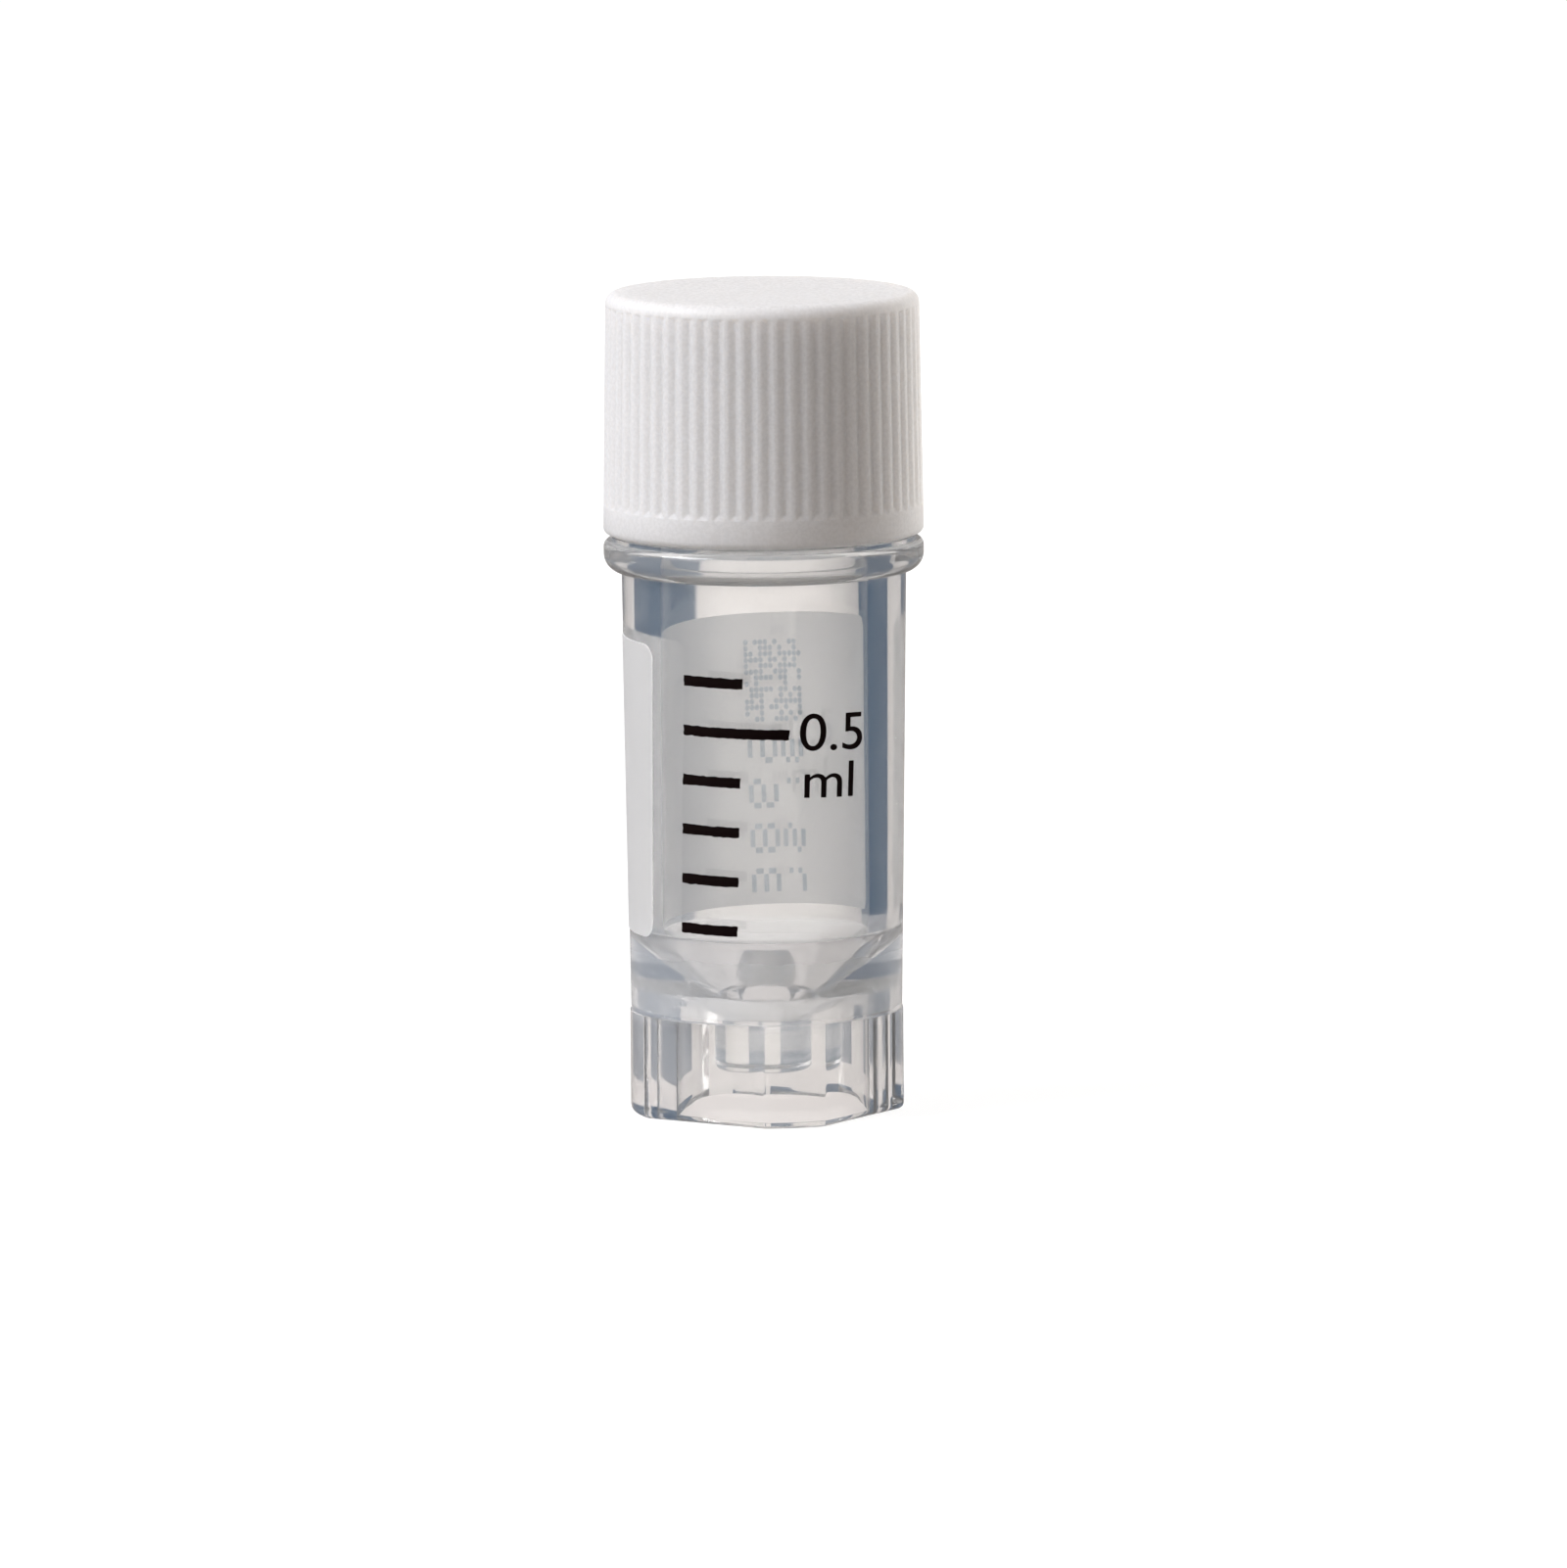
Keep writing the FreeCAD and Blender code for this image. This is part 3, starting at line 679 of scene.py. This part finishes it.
# %% The graduation marks
MARK_LOWEST, MARK_PITCH, MARK_THICKNESS, MARK_COUNT, LONG_MARK = 7.74, 1.943, 0.4, 6, 4
MARK_START, SHORT_END, LONG_END = -36.0, -10.5, 9.0
rng = np.random.default_rng(7)


def rough_bar(left, right, low, high):
    """A bar whose edges waver by a hundredth of a millimetre, as screen-printed ones do."""
    across = np.linspace(left, right, max(4, int((right - left) / 0.12)))
    upright = np.linspace(low, high, 5)[1:-1]
    outline = [(x, low) for x in across] + [(right, y) for y in upright]
    outline += [(x, high) for x in across[::-1]] + [(left, y) for y in upright[::-1]]
    return np.array(outline) + rng.normal(0, 0.012, (len(outline), 2))


marks_flat = bmesh.new()
for step in range(MARK_COUNT):
    middle = MARK_LOWEST + MARK_PITCH * step
    end = LONG_END if step == LONG_MARK else SHORT_END
    draw_polygon(marks_flat, rough_bar(arc_length(MARK_START), arc_length(end),
                                       middle - MARK_THICKNESS / 2, middle + MARK_THICKNESS / 2))
graduations = wrap("graduation_films", marks_flat)
graduations.data.materials.append(black_ink)
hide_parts("graduation_marks")

# %% [markdown]
# ## The label
# The words come from Blender's own font, narrowed by a hair, made a mesh and then wrapped like the
# bars. A text object could not be bent round the tube and kept as a thin closed film.

# %% The volume label
LETTER_THINNER = -0.002
LABEL_LINES = (("0.5", 28.4, 14.9, 2.1, 1.17), ("ml", 27.2, 13.05, 2.05, 1.2))


def draw_text(flat, words, azimuth, base, size, width):
    """Add words to a drawing, centred on an azimuth, with their base line at a height."""
    curve = bpy.data.curves.new("words", "FONT")
    curve.body = words
    curve.size = size
    curve.offset = LETTER_THINNER
    curve.align_x = "CENTER"
    curve.resolution_u = 6
    holder = bpy.data.objects.new("words", curve)
    scene.collection.objects.link(holder)
    bpy.context.view_layer.update()
    data = bpy.data.meshes.new_from_object(holder.evaluated_get(bpy.context.evaluated_depsgraph_get()))
    before = len(flat.verts)
    flat.from_mesh(data)
    flat.verts.ensure_lookup_table()
    for vertex in flat.verts[before:]:
        vertex.co.x = vertex.co.x * width + arc_length(azimuth)
        vertex.co.y += base
    bpy.data.objects.remove(holder)
    bpy.data.curves.remove(curve)
    bpy.data.meshes.remove(data)


label_flat = bmesh.new()
for line in LABEL_LINES:
    draw_text(label_flat, *line)
bmesh.ops.remove_doubles(label_flat, verts=label_flat.verts, dist=0.001)
volume_label = wrap("volume_label", label_flat)
volume_label.data.materials.append(black_ink)

# %% [markdown]
# The back of the panel carries a square of dots and two columns of digits, both made up here. They are
# black from behind. From the front, their inner face is painted a pale bluish grey. It is a painted shadow
# that stands in for the light they keep from the white ink, so they show faintly and mirrored.

# %% Ink that is black outside, with a painted shadow on its inner face
# The two pale bluish greys are a painted shadow: the black print's show-through in the backlit white ink.
PAINTED_SHADOW, PAINTED_SHADOW_FAINT, CODE_BLACK = (0.38, 0.47, 0.56, 1), (0.54, 0.61, 0.68, 1), (0.006, 0.004, 0.004, 1)


def make_code_ink_with_painted_shadow():
    """Black ink on the outside; its inner face is a painted shadow, pale and bluish, where the print keeps
    light from the white ink.
    """
    material, start = new_material("code_ink")
    normal = start.node("ShaderNodeNewGeometry", output=1)
    outward = start.node("ShaderNodeVectorMath", {"operation": "DOT_PRODUCT"},
                         {0: normal, 1: object_place(start)}, output=1)
    # Painted shadow, patchy: it stands in for the backlight that the print blocks in the white ink.
    patchy_painted_shadow = noise(start, 0.35).mix(PAINTED_SHADOW, PAINTED_SHADOW_FAINT)
    # Black ink on the outer face, the painted shadow on the inner face.
    tone = outward.step(-MM, MM).mix(patchy_painted_shadow, CODE_BLACK)
    film = start.node("ShaderNodeBsdfPrincipled", None, {
        "Base Color": tone, "Roughness": 0.6 + noise(start, 0.3) * 0.2, "Specular IOR Level": 0.1})
    return finish_material(material, film)


# %% The code print
CODE_LIFT, CODE_SINK = 0.042, 0.018
DOT_ROWS, DOT_COLUMNS, DOT_PITCH, DOT_RADIUS = 14, 12, 0.235, 0.115
CODE_START, CODE_BASE = -199.0, 14.4
DIGIT_LINES = (("3869", -172.5, 1.2), ("7516", -189.5, 0.9))
DIGIT_MIDDLE, DIGIT_PITCH, DIGIT_WIDTH, BAR_WIDTH, BAR_GAP = 10.57, 1.78, 0.95, 0.22, 0.02
BARS = {"a": (0, 1, 1, 1), "b": (1, 0.5, 1, 1), "c": (1, 0, 1, 0.5), "d": (0, 0, 1, 0),
        "e": (0, 0, 0, 0.5), "f": (0, 0.5, 0, 1), "g": (0, 0.5, 1, 0.5)}
DIGIT_BARS = {"1": "bc", "3": "abgcd", "5": "afgcd", "6": "afgedc", "7": "abc", "8": "abcdefg",
              "9": "gfabcd"}
code_dots = rng.random((DOT_ROWS, DOT_COLUMNS)) < 0.55


def dot_outline(x, y, corners=8):
    angles = [math.tau * (n + 0.5) / corners for n in range(corners)]
    return [(x + DOT_RADIUS * math.cos(a), y + DOT_RADIUS * math.sin(a)) for a in angles]


def draw_digit(flat, digit, azimuth, low, tall):
    """Add a digit made of bars. It lies on its side: its foot is at the azimuth and its top beyond it."""
    for bar in DIGIT_BARS[digit]:
        ends = np.array(BARS[bar]).reshape(2, 2) * (DIGIT_WIDTH, tall)
        first, last = (Vector((arc_length(azimuth) - up, low + across)) for across, up in ends)
        along = (last - first).normalized()
        aside = Vector((-along.y, along.x)) * BAR_WIDTH / 2
        trim = along * (BAR_WIDTH / 2 + BAR_GAP)
        corners = (first + trim - aside, last - trim - aside, last - trim + aside, first + trim + aside)
        draw_polygon(flat, corners)


code_flat = bmesh.new()
for row, column in zip(*code_dots.nonzero()):
    draw_polygon(code_flat, dot_outline(arc_length(CODE_START) + column * DOT_PITCH,
                                        CODE_BASE + row * DOT_PITCH))
for digits, azimuth, tall in DIGIT_LINES:
    for place, digit in enumerate(digits):
        low = DIGIT_MIDDLE + DIGIT_PITCH * (place - (len(digits) - 1) / 2) - DIGIT_WIDTH / 2
        draw_digit(code_flat, digit, azimuth, low, tall)
code_print = wrap("code_print", code_flat, CODE_LIFT, CODE_SINK)
code_print.data.materials.append(make_code_ink_with_painted_shadow())

# %% [markdown]
# ## The stage
# A pale floor and soft light. Clear plastic shows what stands round it, so its look is made by the
# surroundings. They could be an environment picture, but a far drum with a few tones by bearing is
# simpler to steer: warm and light behind the vial, dark blue-grey to either side, white at the back of
# the camera. Only rays that have passed through the plastic see it, so that the ground stays plain.

# %% The floor


def make_stage_material(name, paint, glow):
    """A matt surface with its own faint light, for what stands round the object."""
    material, start = new_material(name)
    surface = start.node("ShaderNodeBsdfPrincipled", None, {
        "Base Color": (*paint, 1), "Roughness": 0.9, "Specular IOR Level": 0.0,
        "Emission Color": (*glow, 1), "Emission Strength": 1.0})
    return finish_material(material, surface)


FLOOR_SIZE = 6.0
floor_mesh = bmesh.new()
bmesh.ops.create_grid(floor_mesh, x_segments=1, y_segments=1, size=FLOOR_SIZE / 2)
floor = finish_mesh("floor", floor_mesh)
floor.data.materials.append(make_stage_material("floor_paint", (0.25, 0.25, 0.25), (0.86, 0.86, 0.86)))
for ray in ("diffuse", "glossy", "transmission"):
    setattr(floor, "visible_" + ray, False)

# %% The tones of the surroundings, in degrees from straight behind the vial
WALL_RADIUS, WALL_HEIGHT, WALL_STRENGTH = 600, 600, 3.5
DARK, PALE, PALE_RIGHT, WHITE = (0.0, 0.05, 0.12), (0.80, 0.755, 0.73), (0.60, 0.57, 0.55), (3.3, 3.2, 3.1)
WALL_TONES = ((-180, WHITE), (-135, WHITE), (-88, DARK), (-11.2, DARK), (-10.8, PALE), (8, PALE),
              (25.8, PALE_RIGHT), (26.2, DARK), (88, DARK), (135, WHITE), (180, WHITE))
LOW_WALL_TOP, LOW_WALL_LIGHT = -81.0, 0.35
TABLE_LOW, TABLE_HIGH, TABLE = -260, -160, (0.98, 0.95, 0.93)
UNDERLAY_RADIUS, UNDERLAY_DROP, UNDERLAY_GLOW = 12.0, 0.02, (0.80, 0.75, 0.73)


def wall_light(tone):
    """A tone of the wall as a share of its strength, which keeps it between 0 and 1."""
    return (*(part / WALL_STRENGTH for part in tone), 1)


def make_wall_paint():
    """The light of the surroundings by bearing, with a paler foot, a light table and a pale ceiling."""
    material, start = new_material("wall_paint")
    across, behind = (start.node("ShaderNodeSeparateXYZ", None, {0: object_place(start)}, output=axis)
                      for axis in (0, 1))
    bearing = across.math("ARCTAN2", across, behind) / math.tau + 0.5
    stops = [((degrees + 180) / 360, wall_light(tone)) for degrees, tone in WALL_TONES]
    tone = start.node("ShaderNodeValToRGB", {"stops": stops}, {"Fac": bearing})
    height = heights(start)
    low_light = (1 - height.step(LOW_WALL_TOP * MM, (LOW_WALL_TOP + 1.5) * MM)) * LOW_WALL_LIGHT
    ceiling = height.step((WALL_HEIGHT - 10) * MM, (WALL_HEIGHT - 1) * MM)
    tone = ceiling.mix(low_light.mix(tone, wall_light(PALE)), wall_light(PALE))
    table = 1 - height.step(TABLE_LOW * MM, TABLE_HIGH * MM)
    tone = table.mix(tone, wall_light(TABLE))
    surface = start.node("ShaderNodeBsdfPrincipled", None, {
        "Base Color": (0, 0, 0, 1), "Roughness": 0.9, "Specular IOR Level": 0.0,
        "Emission Color": tone, "Emission Strength": WALL_STRENGTH})
    return finish_material(material, surface)


# %% The surroundings and the light from under the foot


def place_surround(piece, paint):
    """Give a surround its paint, and leave it only to the rays that pass through the plastic."""
    piece.data.materials.append(paint)
    for ray in ("camera", "diffuse", "glossy", "shadow", "volume_scatter"):
        setattr(piece, "visible_" + ray, False)


wall_mesh = bmesh.new()
bmesh.ops.create_cone(wall_mesh, cap_ends=True, segments=128, radius1=WALL_RADIUS * MM,
                      radius2=WALL_RADIUS * MM, depth=2 * WALL_HEIGHT * MM)
place_surround(finish_mesh("surroundings", wall_mesh), make_wall_paint())

underlay_mesh = bmesh.new()
bmesh.ops.create_circle(underlay_mesh, cap_ends=True, segments=64, radius=UNDERLAY_RADIUS * MM)
bmesh.ops.translate(underlay_mesh, verts=underlay_mesh.verts, vec=(0, 0, -UNDERLAY_DROP * MM))
place_surround(finish_mesh("underlay", underlay_mesh),
               make_stage_material("underlay", (0, 0, 0), UNDERLAY_GLOW))

# %% [markdown]
# ## Lights and camera
# A large soft key light from the upper left models the cap. A weaker light from behind on the right
# lifts the white ink from inside, and the rest is the faint light of the room. The camera has a long
# lens and looks slightly down, as for a catalogue.

# %% Lights
LIGHT_AIM = (0, 0, 0.016)
ROOM_LIGHT, ROOM_STRENGTH = (1.0, 0.92, 0.87, 1), 0.34


def add_softbox(name, place, size, power, colour):
    light = bpy.data.lights.new(name, "AREA")
    light.size, light.energy, light.color = size, power, colour
    holder = bpy.data.objects.new(name, light)
    scene.collection.objects.link(holder)
    holder.location = place
    aim = Vector(LIGHT_AIM) - holder.location
    holder.rotation_euler = aim.to_track_quat("-Z", "Y").to_euler()
    print(name, "light", power, "W at", round(aim.length, 3), "m")
    return holder


add_softbox("key", (-0.475, -0.172, 0.455), 0.35, 4.55, (0.94, 0.955, 1.0))
back_fill = add_softbox("back_fill", (0.33, 0.31, 0.05), 0.3, 3.3, (1.0, 0.98, 0.95))
back_fill.visible_transmission = False
back_fill.visible_glossy = False
world = bpy.data.worlds.new("room")
scene.world = world
world.use_nodes = True
background = world.node_tree.nodes["Background"]
background.inputs["Color"].default_value = ROOM_LIGHT
background.inputs["Strength"].default_value = ROOM_STRENGTH
scene.view_settings.view_transform = "Standard"

# %% Camera
DISTANCE, ORBIT_CENTRE, ELEVATION, ROLL = 700.0, 16, 7.3, -0.38
AIM, LENS, SENSOR = (0.71, 0.0, 12.86), 411.2, 36.0
camera = bpy.data.objects.new("camera", bpy.data.cameras.new("camera"))
scene.collection.objects.link(camera)
scene.camera = camera
camera.data.sensor_width, camera.data.lens = SENSOR, LENS
camera.data.clip_start, camera.data.clip_end = 0.05, 20.0
rise = math.radians(ELEVATION)
camera.location = Vector((0, -DISTANCE * math.cos(rise), ORBIT_CENTRE + DISTANCE * math.sin(rise))) * MM
sight = (Vector(AIM) * MM - camera.location).to_track_quat("-Z", "Y")
camera.rotation_mode = "QUATERNION"
camera.rotation_quaternion = sight @ Quaternion((0, 0, 1), math.radians(ROLL))
print("camera at", [round(side, 4) for side in camera.location], "m, lens", LENS, "mm")
